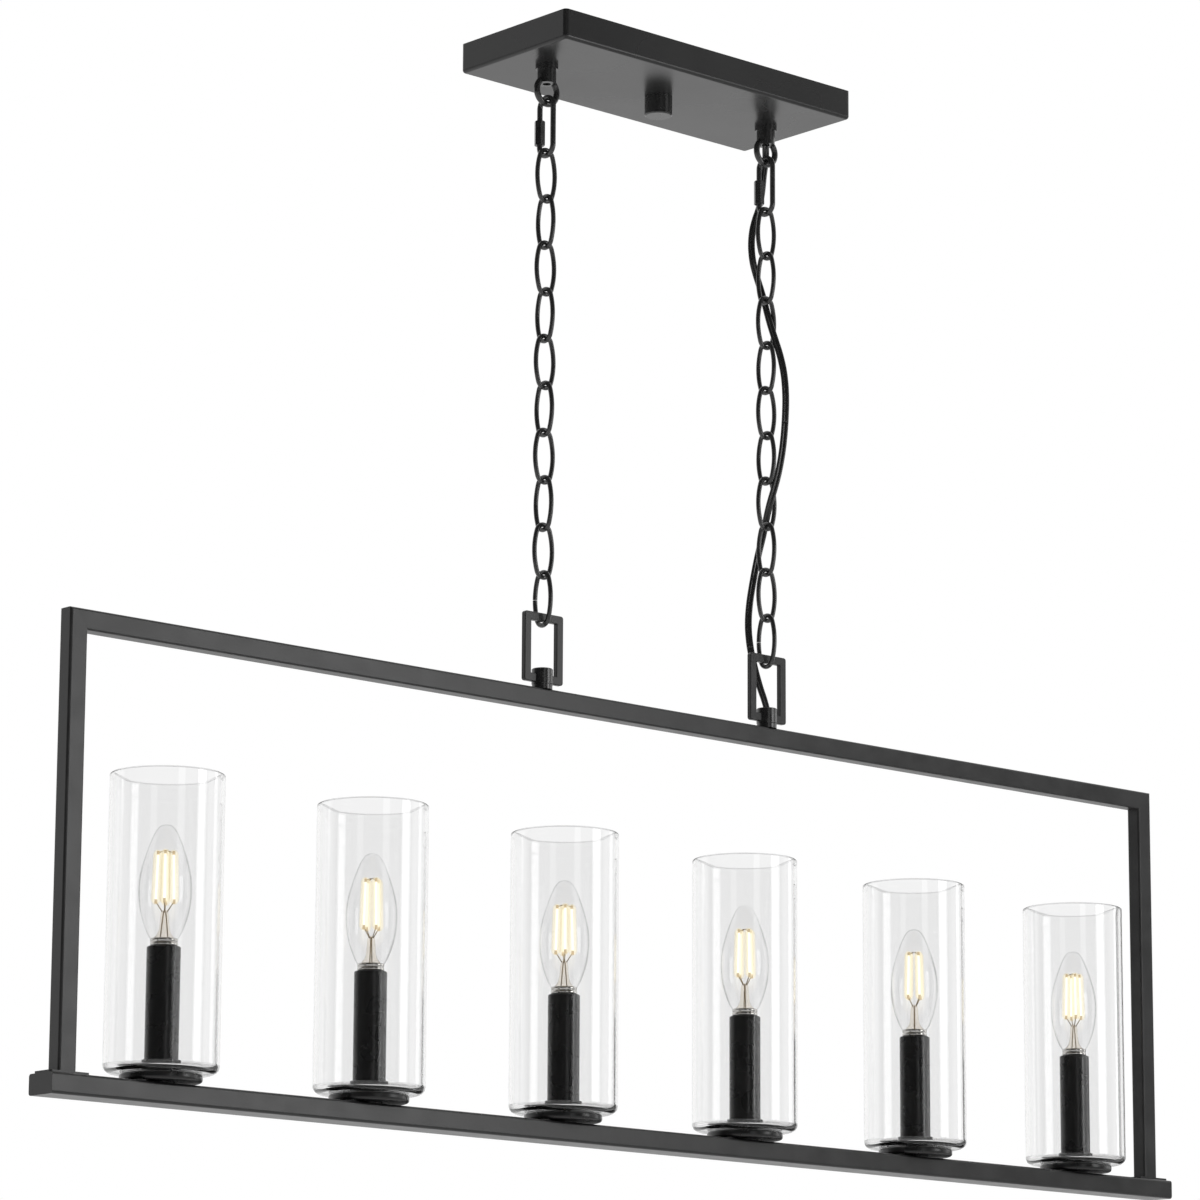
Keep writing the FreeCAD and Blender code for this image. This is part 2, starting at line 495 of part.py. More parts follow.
def post_foot(side):
    x = side * POST_X
    plate = Part.Face(rounded_rectangle(FOOT_LENGTH, FOOT_DEPTH, FOOT_CORNER)).extrude(V(0, 0, FOOT_THICK))
    plate.translate(V(x, 0, BAR_TOP))
    holes = [rod((x, 0, BAR_TOP - 1), (x, 0, POST_BOTTOM + 1), HARNESS_BORE)]
    holes += [countersink(screw_x, RUN_FIT) for screw_x in screw_places() if abs(screw_x - x) < FOOT_LENGTH]
    return plate.cut(holes)


def foot_screw(x):
    shank = rod((x, 0, POST_BOTTOM - FOOT_SCREW_LENGTH), (x, 0, BAR_TOP), SCREW_RADIUS)
    slot = box(x, 0, POST_BOTTOM - SCREW_HEAD_HEIGHT / 2, 2 * COUNTERSINK_RADIUS, SCREW_HEAD_HEIGHT / 2,
               SCREW_HEAD_HEIGHT)
    return shank.fuse(countersink(x)).removeSplitter().cut(slot)


def bottom_bar():
    length = BAR_LENGTH - 2 * CAP_THICK
    bar = box_tube(BAR_HEIGHT, BAR_DEPTH, BAR_CORNER, SHEET, length)
    bar.rotate(V(0, 0, 0), Y_DIR, 90)
    bar.translate(V(-length / 2, 0, BAR_Z))
    holes = [rod((x, 0, BAR_Z), (x, 0, BAR_TOP + 1), NIPPLE_RADIUS) for x in LIGHT_XS]
    holes.append(rod((POST_X, 0, BAR_Z), (POST_X, 0, BAR_TOP + 1), HARNESS_BORE))
    holes += [rod((x, 0, BAR_Z), (x, 0, BAR_TOP + 1), SCREW_RADIUS) for x in screw_places()]
    return bar.cut(holes)


def bar_end_cap(side):
    """Flush cap with a plug that stands in the tube."""
    face = Part.Face(rounded_rectangle(BAR_HEIGHT, BAR_DEPTH, BAR_CORNER)).extrude(V(0, 0, CAP_THICK))
    plug = Part.Face(rounded_rectangle(BAR_HEIGHT - 2 * SHEET - 2 * RUN_FIT, BAR_DEPTH - 2 * SHEET - 2 * RUN_FIT,
                                       BAR_CORNER - SHEET)).extrude(V(0, 0, CAP_SPIGOT + CAP_THICK))
    cap = face.fuse(plug).removeSplitter()
    cap.rotate(V(0, 0, 0), Y_DIR, 90)
    if side > 0:
        cap.rotate(V(0, 0, 0), Z_DIR, 180)
    cap.translate(V(side * BAR_LENGTH / 2, 0, BAR_Z))
    return cap


def wiring_harness():
    """Main run from the right collar through rail, post and bar, and one drop up to each light."""
    main = bent_tube(((HANG_X, 0, LOOP_COLLAR_TOP), (HANG_X, 0, RAIL_Z), (POST_X, 0, RAIL_Z), (POST_X, 0, BAR_Z),
                      (LIGHT_XS[0] - NECK_RADIUS, 0, BAR_Z)), CORD_RADIUS, 4.0)
    low = BAR_Z + CORD_RADIUS + SEAT_GAP / 3
    drops = [rod((x, 0, low), (x, 0, BAR_BOTTOM + SOCKET_FLOOR), DROP_RADIUS) for x in LIGHT_XS]
    return [main] + drops


# ---- one light ---------------------------------------------------------------------------------------
def pan_neck(x):
    return pipe(x, 0, BAR_TOP, BAR_BOTTOM + NECK_TOP, NECK_RADIUS, NIPPLE_RADIUS + RUN_FIT)


def shade_pan(x):
    low, high = NECK_TOP, PAN_TOP
    disc = rod((x, 0, BAR_BOTTOM + low), (x, 0, BAR_BOTTOM + high), PAN_RADIUS)
    disc = disc.makeFillet(PAN_EDGE, [e for e in disc.Edges if e.Length > math.pi * PAN_RADIUS])
    return disc.cut(rod((x, 0, BAR_BOTTOM), (x, 0, BAR_BOTTOM + high + 1), NIPPLE_RADIUS + RUN_FIT))


def stem_nipple(x):
    return pipe(x, 0, BAR_BOTTOM + STEM_LOW, BAR_BOTTOM + PAN_TOP + NIPPLE_SOCKET_DEPTH, NIPPLE_RADIUS,
                NIPPLE_BORE)


def stem_nut(x):
    top = BAR_TOP - SHEET
    return hex_nut(x, 0, top - STEM_NUT_THICK, top, STEM_NUT_FLATS, NIPPLE_RADIUS)


def lamp_socket(x):
    """Candle socket: threaded foot on the nipple, long body, screw shell at the top."""
    low = BAR_BOTTOM + PAN_TOP
    body = rod((x, 0, low), (x, 0, BAR_BOTTOM + SOCKET_TOP), SOCKET_RADIUS)
    return body.cut([
        rod((x, 0, low - 1), (x, 0, low + NIPPLE_SOCKET_DEPTH), NIPPLE_RADIUS),
        rod((x, 0, low - 1), (x, 0, BAR_BOTTOM + SOCKET_FLOOR + 1), SOCKET_WIRE_BORE),
        rod((x, 0, BAR_BOTTOM + SOCKET_FLOOR), (x, 0, BAR_BOTTOM + SOCKET_TOP + 1), BASE_SHELL + RUN_FIT)])


def glass_shade(x):
    """Open cylinder of clear glass with a rounded bottom and a hole for the socket."""
    low, high = BAR_BOTTOM + PAN_TOP, BAR_BOTTOM + GLASS_TOP
    outside = rod((x, 0, low), (x, 0, high), GLASS_RADIUS)
    outside = outside.makeFillet(GLASS_CORNER, [e for e in outside.Edges if e.BoundBox.ZMax < low + 0.01])
    inside = rod((x, 0, low + GLASS_FLOOR), (x, 0, high + 1), GLASS_RADIUS - GLASS_WALL)
    inside = inside.makeFillet(GLASS_INNER_CORNER,
                               [e for e in inside.Edges if e.BoundBox.ZMax < low + GLASS_FLOOR + 0.01])
    shell = outside.cut(inside)
    rim = [e for e in shell.Edges if e.BoundBox.ZMin > high - 0.01]
    shell = shell.makeFillet(GLASS_RIM, rim)
    return shell.cut(rod((x, 0, low - 1), (x, 0, low + GLASS_FLOOR + 1), GLASS_HOLE))


def retaining_ring(x):
    low = PAN_TOP + GLASS_FLOOR
    high = low + RETAINER_THICK
    inner, outer, edge = SOCKET_RADIUS + RUN_FIT, RETAINER_RADIUS, RETAINER_CHAMFER
    return lathe(((inner, low), (outer - edge, low), (outer, low + edge), (outer, high - edge),
                  (outer - edge, high), (inner, high)), x, 0, BAR_BOTTOM)


def candle_sleeve(x):
    low, high = PAN_TOP + GLASS_FLOOR + RETAINER_THICK, SLEEVE_TOP
    return lathe(((SLEEVE_BORE, low), (SLEEVE_RADIUS, low), (SLEEVE_RADIUS, high - SLEEVE_EDGE),
                  (SLEEVE_RADIUS - SLEEVE_EDGE, high), (SLEEVE_BORE, high)), x, 0, BAR_BOTTOM)


def bulb(x):
    """Thin glass envelope, open at the neck, that tapers to a rounded tip."""
    outside = [V(r, 0, h) for r, h in BULB_PROFILE]
    inside = []
    for i, point in enumerate(outside):
        before, after = outside[max(i - 1, 0)], outside[min(i + 1, len(outside) - 1)]
        along = after - before
        along.normalize()
        inside.append(point + V(-along.z, 0, along.x) * BULB_WALL)
    inside[0].z = outside[0].z
    inside[-1] = outside[-1] - V(0, 0, BULB_WALL)
    edges = []
    for points in (outside, inside):
        curve = Part.BSplineCurve()
        curve.interpolate(points)
        edges.append(curve.toShape())
    edges.append(Part.LineSegment(outside[0], inside[0]).toShape())
    edges.append(Part.LineSegment(outside[-1], inside[-1]).toShape())
    face = Part.Face(Part.Wire(Part.__sortEdges__(edges)))
    solid = face.revolve(V(0, 0, 0), Z_DIR, 360)
    solid.translate(V(x, 0, BAR_BOTTOM))
    return Part.Solid(solid.Shells[0])


def bulb_base(x):
    """Screw base with its skirt, the glass stem, and four upright filaments on thin wires."""
    base = lathe(((0, BASE_LOW), (BASE_TIP, BASE_LOW), (BASE_TIP, BASE_TIP_TOP), (BASE_SHELL, BASE_TIP_TOP + 1),
                  (BASE_SHELL, SOCKET_TOP), (SKIRT_RADIUS, SKIRT_LOW), (SKIRT_RADIUS, SKIRT_TOP),
                  (0, SKIRT_TOP)), x, 0, BAR_BOTTOM)
    pieces = [base, lathe(GLASS_STEM, x, 0, BAR_BOTTOM)]
    (low_radius, low), (high_radius, high) = FILAMENT_LOW, FILAMENT_HIGH
    for i in range(FILAMENT_COUNT):
        angle = math.radians(45 + i * 360 / FILAMENT_COUNT)
        way = V(math.cos(angle), math.sin(angle), 0)
        foot = V(x, 0, BAR_BOTTOM + low) + way * low_radius
        head = V(x, 0, BAR_BOTTOM + high) + way * high_radius
        root = V(x, 0, BAR_BOTTOM + SUPPORT_ROOT) + way * GLASS_STEM[4][0]
        crown = V(x, 0, BAR_BOTTOM + SUPPORT_TOP)
        pieces.append(rod(foot, head, FILAMENT_RADIUS))
        pieces.append(rod(root, foot - Z_DIR * SUPPORT_RADIUS, SUPPORT_RADIUS))
        pieces.append(rod(head + Z_DIR * SUPPORT_RADIUS, crown + way * 2 * SUPPORT_RADIUS, SUPPORT_RADIUS))
    return pieces


# ---- all nodes -----------------------------------------------------------------------------------------
nodes = {
    "mounting_crossbar": mounting_crossbar(),
    "canopy_nipple": canopy_nipple(),
    "nipple_lock_nut": nipple_lock_nut(),
    "ground_screw": ground_screw(),
    "canopy_shell": canopy_shell(),
    "canopy_knob": canopy_knob(),
    "canopy_loops": [canopy_loop(x) for _, x in SIDES],
    "screw_collars": [screw_collar(x) for _, x in SIDES],
    "loop_washers": [loop_washer(x) for _, x in SIDES],
    "loop_lock_nuts": [loop_lock_nut(x) for _, x in SIDES],
    "supply_leads": supply_leads(),
    "wire_connectors": [wire_connector(side * CONNECTOR_Y) for side in (-1, 1)],
    "supply_cord": supply_cord(),
    "hanger_loops": [hanger_loop(x) for _, x in SIDES],
    "hanger_collars": [hanger_collar(x) for _, x in SIDES],
    "collar_bases": [collar_base(x) for _, x in SIDES],
    "hanger_nuts": [hanger_nut(x) for _, x in SIDES],
    "top_rail": top_rail(),
    "left_post": post(-1),
    "right_post": post(1),
    "post_feet": [post_foot(side) for side in (-1, 1)],
    "foot_screws": [foot_screw(x) for x in screw_places()],
    "bottom_bar": bottom_bar(),
    "bar_end_caps": [bar_end_cap(side) for side in (-1, 1)],
    "wiring_harness": wiring_harness(),
    "pan_necks": [pan_neck(x) for x in LIGHT_XS],
    "shade_pans": [shade_pan(x) for x in LIGHT_XS],
    "stem_nipples": [stem_nipple(x) for x in LIGHT_XS],
    "stem_nuts": [stem_nut(x) for x in LIGHT_XS],
    "lamp_sockets": [lamp_socket(x) for x in LIGHT_XS],
    "retaining_rings": [retaining_ring(x) for x in LIGHT_XS],
    "candle_sleeves": [candle_sleeve(x) for x in LIGHT_XS],
}
for name, x in SIDES:
    nodes["quick_link_" + name] = quick_link(x)
    nodes["quick_link_nut_" + name] = quick_link_nut(x)
    nodes["chain_" + name] = [chain_link(x, i) for i in range(LINK_COUNT - 1)]
    nodes["chain_end_link_" + name] = chain_end_link(x)
for number, x in enumerate(LIGHT_XS, 1):
    nodes["glass_shade_%d" % number] = glass_shade(x)
    nodes["bulb_%d" % number] = bulb(x)
    nodes["bulb_base_%d" % number] = bulb_base(x)

os.makedirs("parts", exist_ok=True)
for name, shape in nodes.items():
    if isinstance(shape, list):
        shape = Part.makeCompound(shape)
    shape.exportStep("parts/%s.step" % name)
    bounds = shape.BoundBox
    print("%-22s solids %3d valid %s volume %10.1f  z %8.2f to %8.2f" % (
        name, len(shape.Solids), shape.isValid(), shape.Volume, bounds.ZMin, bounds.ZMax))
print(len(nodes), "nodes")
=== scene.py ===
"""Looks for a linear island pendant: six candle lights in clear glass on a black frame, hung on chains.

Metres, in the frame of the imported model: origin at the canopy's rim on the ceiling, +X along the
lamp, +Z up.  Lengths written as mm(...) are millimetres.
"""
import math
import bmesh
import bpy
import numpy as np
from mathutils import Matrix, Vector


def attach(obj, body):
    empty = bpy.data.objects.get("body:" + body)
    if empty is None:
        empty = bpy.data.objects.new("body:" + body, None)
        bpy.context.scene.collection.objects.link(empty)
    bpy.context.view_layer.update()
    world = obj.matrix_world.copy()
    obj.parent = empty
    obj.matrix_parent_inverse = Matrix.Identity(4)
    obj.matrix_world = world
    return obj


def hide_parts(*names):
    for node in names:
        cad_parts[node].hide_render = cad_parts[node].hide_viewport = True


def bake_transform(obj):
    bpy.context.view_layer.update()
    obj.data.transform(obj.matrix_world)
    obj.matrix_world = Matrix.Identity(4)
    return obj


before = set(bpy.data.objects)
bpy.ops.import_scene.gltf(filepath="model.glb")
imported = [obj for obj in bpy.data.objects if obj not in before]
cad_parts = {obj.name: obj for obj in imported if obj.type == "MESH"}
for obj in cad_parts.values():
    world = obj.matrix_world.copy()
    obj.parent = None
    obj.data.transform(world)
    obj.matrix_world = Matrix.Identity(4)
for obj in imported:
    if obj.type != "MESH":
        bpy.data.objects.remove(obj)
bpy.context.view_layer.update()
scene = bpy.context.scene


def mm(value):
    """Millimetres to metres, for a number or a whole array."""
    return np.asarray(value, float) * 0.001


BAR_BOTTOM = -0.800                      # underside of the bottom bar
HANG_X = 0.110                           # the right chain; the left one mirrors it
LIGHT_COUNT, LIGHT_PITCH = 6, 0.175
LIGHT_XS = [(i - (LIGHT_COUNT - 1) / 2) * LIGHT_PITCH for i in range(LIGHT_COUNT)]
VIEW_PLACE = (-2.3950, -2.5910, -1.1426)
VIEW_YAW, VIEW_PITCH, VIEW_ROLL = 42.08, 11.86, 0.30    # degrees
VIEW_LENS, VIEW_SENSOR = 149.7, 36.0                    # millimetres


# ---- camera --------------------------------------------------------------------------------------
def view_axes():
    """Right, up and forward unit vectors of the photograph's view.

    forward = (sin a cos b, cos a cos b, sin b) for yaw a and pitch b; right is level, and both
    right and up are then turned by the roll.
    """
    a, b, c = (math.radians(v) for v in (VIEW_YAW, VIEW_PITCH, VIEW_ROLL))
    forward = Vector((math.sin(a) * math.cos(b), math.cos(a) * math.cos(b), math.sin(b)))
    right = Vector((math.cos(a), -math.sin(a), 0.0))
    up = right.cross(forward)
    return (right * math.cos(c) + up * math.sin(c), up * math.cos(c) - right * math.sin(c), forward)


def make_camera():
    """The photograph's view: its place, lens and turn were fitted to the photo."""
    right, up, forward = view_axes()
    data = bpy.data.cameras.new("view")
    data.sensor_width = VIEW_SENSOR
    data.lens = VIEW_LENS
    data.clip_start, data.clip_end = 0.05, 100.0
    camera = bpy.data.objects.new("view", data)
    scene.collection.objects.link(camera)
    turn = Matrix((right, up, -forward)).transposed().to_4x4()
    camera.matrix_world = Matrix.Translation(VIEW_PLACE) @ turn
    scene.camera = camera


make_camera()


# ---- mesh helpers --------------------------------------------------------------------------------
def mesh_object(name, points, faces, smooth=True):
    """Object from an (n, 3) array and a list of vertex index tuples."""
    mesh = bpy.data.meshes.new(name)
    mesh.from_pydata([tuple(p) for p in points], [], faces)
    mesh.polygons.foreach_set("use_smooth", [smooth] * len(mesh.polygons))
    mesh.update()
    piece = bpy.data.objects.new(name, mesh)
    scene.collection.objects.link(piece)
    return piece


def grid_faces(rows, columns, wrap_rows=False):
    """Quads of a grid whose columns close on themselves; vertex (i, j) has index i * columns + j."""
    faces = []
    for i in range(rows if wrap_rows else rows - 1):
        for j in range(columns):
            i2, j2 = (i + 1) % rows, (j + 1) % columns
            faces.append((i * columns + j, i * columns + j2, i2 * columns + j2, i2 * columns + j))
    return faces


def lathe(profile, turns, closed=False):
    """Points and quads of a surface of revolution about Z.

    P(i, t) = (r_i cos t, r_i sin t, z_i) for profile rows (r_i, z_i) and t in [0, 2 pi).
    """
    profile = np.asarray(profile, float)
    t = np.linspace(0, 2 * math.pi, turns, endpoint=False)
    r, z = profile[:, :1], profile[:, 1:]
    points = np.stack([r * np.cos(t), r * np.sin(t), z + 0 * t], axis=-1).reshape(-1, 3)
    return points, grid_faces(len(profile), turns, wrap_rows=closed)


def arc(centre, radius, start, end, steps):
    """Profile rows c + radius (cos a, sin a) for a from start to end, in degrees."""
    a = np.radians(np.linspace(start, end, steps))
    return np.column_stack([centre[0] + radius * np.cos(a), centre[1] + radius * np.sin(a)])


def sweep(path, section, wide):
    """Points of a section carried along an open path.

    P(i, j) = p_i + u_j W_i + v_j B_i, where T_i is the path's tangent, W_i the part of the given
    wide direction square to T_i, and B_i = T_i x W_i.
    """
    tangent = np.gradient(path, axis=0)
    tangent /= np.linalg.norm(tangent, axis=1)[:, None]
    across = wide - np.sum(wide * tangent, axis=1)[:, None] * tangent
    across /= np.linalg.norm(across, axis=1)[:, None]
    other = np.cross(tangent, across)
    u, v = section.T
    points = path[:, None] + u[None, :, None] * across[:, None] + v[None, :, None] * other[:, None]
    return points.reshape(-1, 3)


def smooth_rows(rows, steps):
    """Catmull-Rom curve through the rows, with steps points in each span.

    q(s) = (2 p1 + (p2 - p0) s + (2 p0 - 5 p1 + 4 p2 - p3) s^2 + (3 p1 - p0 - 3 p2 + p3) s^3) / 2
    """
    p = np.asarray(rows, float)
    p = np.vstack([2 * p[0] - p[1], p, 2 * p[-1] - p[-2]])
    s = np.linspace(0, 1, steps, endpoint=False)[:, None]
    spans = []
    for a, b, c, d in zip(p, p[1:], p[2:], p[3:]):
        spans.append((2 * b + (c - a) * s + (2 * a - 5 * b + 4 * c - d) * s ** 2
                      + (3 * b - a - 3 * c + d) * s ** 3) / 2)
    return np.vstack(spans + [p[-2][None]])


def merge_close(piece, distance=1e-6):
    """Joins the coinciding points at a pole or a seam and turns every face outward."""
    mesh = bmesh.new()
    mesh.from_mesh(piece.data)
    bmesh.ops.remove_doubles(mesh, verts=mesh.verts, dist=distance)
    bmesh.ops.recalc_face_normals(mesh, faces=mesh.faces)
    mesh.to_mesh(piece.data)
    mesh.free()


def move(points, x):
    """Points shifted to the light at x, with heights counted from the underside of the bar."""
    return points + np.array([x, 0.0, BAR_BOTTOM])


# ---- node helpers --------------------------------------------------------------------------------
GRAIN_DEPTH = 0.0004


def linear(code):
    """Linear RGBA of an sRGB hex colour."""
    values = [int(code[i:i + 2], 16) / 255 for i in (1, 3, 5)]
    return tuple(v / 12.92 if v <= 0.04045 else ((v + 0.055) / 1.055) ** 2.4 for v in values) + (1.0,)


def add(tree, kind, inputs=(), **settings):
    """New node with its settings and its inputs: each value is a constant or an output socket."""
    node = tree.nodes.new(kind)
    for key, value in settings.items():
        setattr(node, key, value)
    for key, value in dict(inputs).items():
        if isinstance(value, bpy.types.NodeSocket):
            tree.links.new(value, node.inputs[key])
        else:
            node.inputs[key].default_value = value
    return node


def new_material(name):
    """Empty node material: returns it, its tree and its output node."""
    material = bpy.data.materials.new(name)
    material.use_nodes = True
    tree = material.node_tree
    tree.nodes.clear()
    return material, tree, add(tree, "ShaderNodeOutputMaterial")


def noise(tree, scale, detail=3.0):
    """Noise of the object's own coordinates, in features per metre."""
    spot = add(tree, "ShaderNodeTexCoord").outputs["Object"]
    return add(tree, "ShaderNodeTexNoise", {"Vector": spot, "Scale": scale, "Detail": detail}).outputs["Fac"]


def spread(tree, value, low, high):
    """Maps a 0.3 to 0.7 noise value to low to high."""
    return add(tree, "ShaderNodeMapRange", {"Value": value, "From Min": 0.3, "From Max": 0.7,
                                            "To Min": low, "To Max": high}).outputs["Result"]


def curve(tree, value, low, high, stops):
    """Smooth level through stops, which are (value, level) pairs with each value between low and high."""
    share = add(tree, "ShaderNodeMapRange", {"Value": value, "From Min": low, "From Max": high})
    ramp = add(tree, "ShaderNodeValToRGB", {"Fac": share.outputs["Result"]})
    ramp.color_ramp.interpolation = "EASE"
    for _ in stops[2:]:
        ramp.color_ramp.elements.new(0.5)
    for element, (at, level) in zip(ramp.color_ramp.elements, stops):
        element.position = (at - low) / (high - low)
        element.color = (level, level, level, 1.0)
    return ramp.outputs["Color"]


def solid_material(name, dark, light, rough, patch=60.0, grain=1500.0, bump=0.05, metallic=0.0,
                   specular=0.5):
    """Opaque finish: two close colours in slow patches, uneven roughness and a fine bumpy skin.

    patch and grain are features per metre, and bump is the strength of a skin GRAIN_DEPTH deep.
    """
    material, tree, output = new_material(name)
    slow, fine = noise(tree, patch), noise(tree, grain, 2.0)
    mix = add(tree, "ShaderNodeMix", {0: spread(tree, slow, 0.0, 1.0), 6: linear(dark), 7: linear(light)},
              data_type="RGBA")
    skin = add(tree, "ShaderNodeBump", {"Strength": bump, "Distance": GRAIN_DEPTH, "Height": fine})
    shader = add(tree, "ShaderNodeBsdfPrincipled", {
        "Base Color": mix.outputs[2], "Roughness": spread(tree, slow, rough * 0.9, rough * 1.1),
        "Metallic": metallic, "Specular IOR Level": specular, "Normal": skin.outputs["Normal"]})
    tree.links.new(shader.outputs["BSDF"], output.inputs["Surface"])
    return material


def finish_node(node, material):
    """Gives a CAD node's object the material in all of its slots."""
    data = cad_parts[node].data
    if not data.materials:
        data.materials.append(material)
    for i in range(len(data.materials)):
        data.materials[i] = material


def place(piece, body, material, node):
    """Finishes a piece and says which body carries it, if one does, and which CAD node it stands for."""
    piece.data.materials.append(material)
    if body:
        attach(piece, body)
    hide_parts(node)


# ---- materials -----------------------------------------------------------------------------------
powder = solid_material("black_powder_coated_steel", "#212121", "#292929", 0.32, bump=0.03)
canopy_finish = solid_material("satin_black_canopy_steel", "#1e1e1e", "#222222", 0.27, patch=9.0,
                               bump=0.008)
chain_finish = solid_material("black_lacquered_chain_steel", "#1c1c1c", "#262626", 0.24, patch=220.0,
                              bump=0.02, specular=0.9)
# Matt black of the candle sleeves. The pans and their necks take it too as painted shade: it is darker than
# the powder coat and stands in for the shadow they sit in.
sleeve_black_and_pan_shade = solid_material("matt_black_sleeve_and_painted_pan_shade", "#0f0f0f", "#141414", 0.28, patch=60.0,
                               bump=0.003)
turned_black = solid_material("black_lacquered_turned_brass", "#141414", "#1e1e1e", 0.26, patch=200.0,
                              bump=0.01, specular=0.9)
cord_skin = solid_material("black_pvc_cord_skin", "#191919", "#222222", 0.26, patch=300.0, grain=2600.0,
                           bump=0.02, specular=0.8)
zinc = solid_material("zinc_plated_steel", "#8e9092", "#aaacad", 0.34, patch=160.0, metallic=1.0, bump=0.10)
brass = solid_material("threaded_lamp_brass", "#a8823e", "#c09a52", 0.30, patch=260.0, metallic=1.0,
                       bump=0.10)
ground_green = solid_material("green_dyed_screw_steel", "#1f5f33", "#2b7a42", 0.35, patch=300.0,
                              metallic=0.6)
lead_skin = solid_material("pvc_lead_insulation", "#232323", "#2f2f2f", 0.42, patch=300.0, bump=0.08)
connector_skin = solid_material("orange_moulded_connector", "#c9661a", "#d97a2a", 0.40, patch=300.0,
                                bump=0.08)
phenolic = solid_material("brown_black_phenolic", "#191512", "#251f1a", 0.38, patch=240.0, bump=0.08)
nickel = solid_material("nickel_plated_lamp_base", "#c4c2be", "#dcdad6", 0.12, patch=260.0,
                        metallic=1.0, bump=0.03)
support_wire = solid_material("nickel_support_wire", "#a3937a", "#bfae92", 0.40, patch=500.0,
                              metallic=0.5)


def clear_for_shadows(tree, surface, output, tint):
    """Lets shadow and diffuse rays pass straight through a glass surface."""
    ray = add(tree, "ShaderNodeLightPath").outputs
    either = add(tree, "ShaderNodeMath", {0: ray["Is Shadow Ray"], 1: ray["Is Diffuse Ray"]},
                 operation="MAXIMUM")
    clear = add(tree, "ShaderNodeBsdfTransparent", {"Color": tint})
    mix = add(tree, "ShaderNodeMixShader", {0: either.outputs[0], 1: surface, 2: clear.outputs[0]})
    tree.links.new(mix.outputs[0], output.inputs["Surface"])


def glass_material():
    """Clear blown glass: refracting walls with slow waves in the surface."""
    material, tree, output = new_material("clear_blown_glass")
    wave = noise(tree, 18.0, 2.0)
    skin = add(tree, "ShaderNodeBump", {"Strength": 0.05, "Distance": 0.001, "Height": wave})
    shader = add(tree, "ShaderNodeBsdfPrincipled", {
        "Base Color": linear("#fafafa"), "Roughness": 0.0, "IOR": 1.46, "Specular IOR Level": 0.3,
        "Transmission Weight": 1.0, "Normal": skin.outputs["Normal"]})
    clear_for_shadows(tree, shader.outputs["BSDF"], output, linear("#f6f6f6"))
    return material


def bulb_material(name, face, edge_colour):
    """Thin blown glass: clear face on, darker where it is seen edge on, with a faint reflection."""
    material, tree, output = new_material(name)
    streak = spread(tree, noise(tree, 40.0, 2.0), 0.9, 1.1)
    facing = add(tree, "ShaderNodeLayerWeight", {"Blend": 0.5}).outputs["Facing"]
    edge = add(tree, "ShaderNodeMath", {0: facing, 1: streak}, operation="MULTIPLY")
    ramp = add(tree, "ShaderNodeValToRGB", {"Fac": edge.outputs[0]})
    ramp.color_ramp.elements[0].color = linear(face)
    ramp.color_ramp.elements[1].color = linear(edge_colour)
    ramp.color_ramp.elements[0].position, ramp.color_ramp.elements[1].position = 0.70, 1.0
    clear = add(tree, "ShaderNodeBsdfTransparent", {"Color": ramp.outputs["Color"]})
    gloss = add(tree, "ShaderNodeBsdfGlossy", {"Color": (1, 1, 1, 1), "Roughness": 0.03})
    sheen = add(tree, "ShaderNodeMapRange", {"Value": facing, "To Min": 0.015, "To Max": 0.08})
    mix = add(tree, "ShaderNodeMixShader", {0: sheen.outputs[0], 1: clear.outputs[0], 2: gloss.outputs[0]})
    clear_for_shadows(tree, mix.outputs[0], output, (0.97, 0.97, 0.97, 1.0))
    return material


def filament_material(name, core, rim, strength, fade):
    """Light from core in the middle to rim at the edge; with a fade it is clear glow that dies out there."""
    material, tree, output = new_material(name)
    facing = add(tree, "ShaderNodeLayerWeight", {"Blend": 0.5}).outputs["Facing"]
    grain = spread(tree, noise(tree, 900.0, 2.0), -0.04, 0.04)
    shade = add(tree, "ShaderNodeMath", {0: facing, 1: grain}, operation="ADD", use_clamp=True)
    ramp = add(tree, "ShaderNodeValToRGB", {"Fac": shade.outputs[0]})
    ramp.color_ramp.elements[0].color = linear(core)
    ramp.color_ramp.elements[1].color = linear(rim)
    glow = add(tree, "ShaderNodeEmission", {"Color": ramp.outputs["Color"], "Strength": strength})
    if not fade:
        tree.links.new(glow.outputs[0], output.inputs["Surface"])
        return material
    level = add(tree, "ShaderNodeMapRange", {"Value": shade.outputs[0], "From Min": 0.0, "From Max": 0.9,
                                             "To Min": fade, "To Max": 0.0}, interpolation_type="SMOOTHSTEP")
    through = add(tree, "ShaderNodeBsdfTransparent")
    mix = add(tree, "ShaderNodeMixShader", {0: level.outputs[0], 1: through.outputs[0], 2: glow.outputs[0]})
    tree.links.new(mix.outputs[0], output.inputs["Surface"])
    return material


shade_glass = glass_material()
bulb_glass = bulb_material("thin_bulb_glass", "#fefefe", "#dadada")
stem_glass = bulb_material("pressed_stem_glass", "#faf7f2", "#a89c8c")
filament_tip = solid_material("gilt_filament_tip", "#a9782c", "#c99a48", 0.30, patch=600.0, metallic=0.5)
filament_core = filament_material("warm_filament_coating", "#fff9e6", "#ffdc96", 2.2, 0.0)
filament_glow = filament_material("soft_filament_glow", "#fff8dc", "#ffe39a", 1.25, 0.42)


